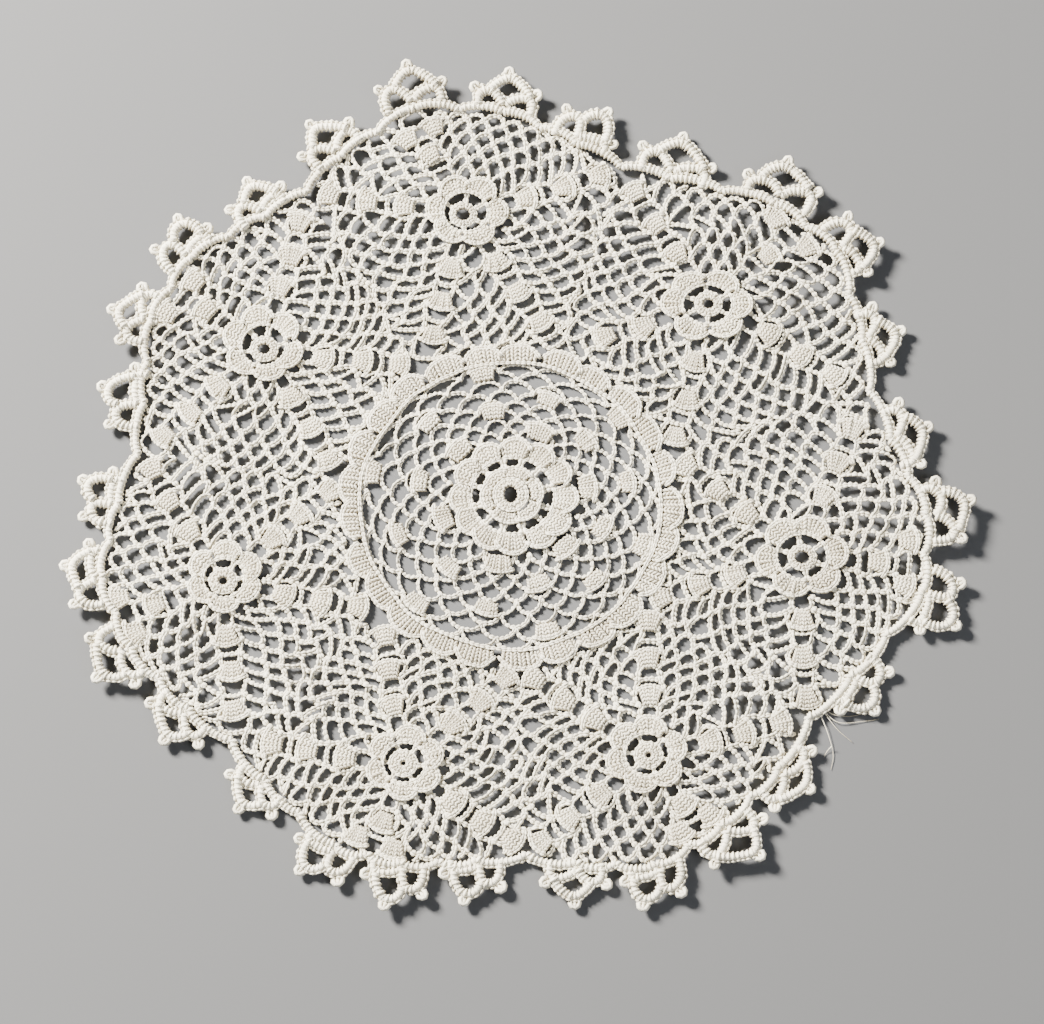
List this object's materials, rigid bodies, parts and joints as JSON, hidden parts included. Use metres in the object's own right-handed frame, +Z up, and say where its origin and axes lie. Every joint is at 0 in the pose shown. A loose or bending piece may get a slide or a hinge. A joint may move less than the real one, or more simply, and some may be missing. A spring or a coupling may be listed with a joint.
{
  "type": "lace doily",
  "caption": "Round crochet doily of joined flower medallions, chain net and a picot-crown edging, lying flat right side up.",
  "frame": {"origin": "middle of the doily's outline, on the surface it lies on", "axes": "+Z up out of the right side, +Y away from the front edge, +X to the right"},
  "size_m": [0.2785, 0.2741, 0.006],
  "materials": {
    "centre_cotton": "matte crochet cotton",
    "medallion_cotton": "matte crochet cotton",
    "edging_cotton": "matte crochet cotton"
  },
  "bodies": {
    "root": {"centre_medallion": "centre_cotton", "back_medallion": "medallion_cotton", "back_right_medallion": "medallion_cotton", "right_medallion": "medallion_cotton", "front_right_medallion": "medallion_cotton", "front_left_medallion": "medallion_cotton", "left_medallion": "medallion_cotton", "back_left_medallion": "medallion_cotton", "edging": "edging_cotton"}
  },
  "joints": []
}
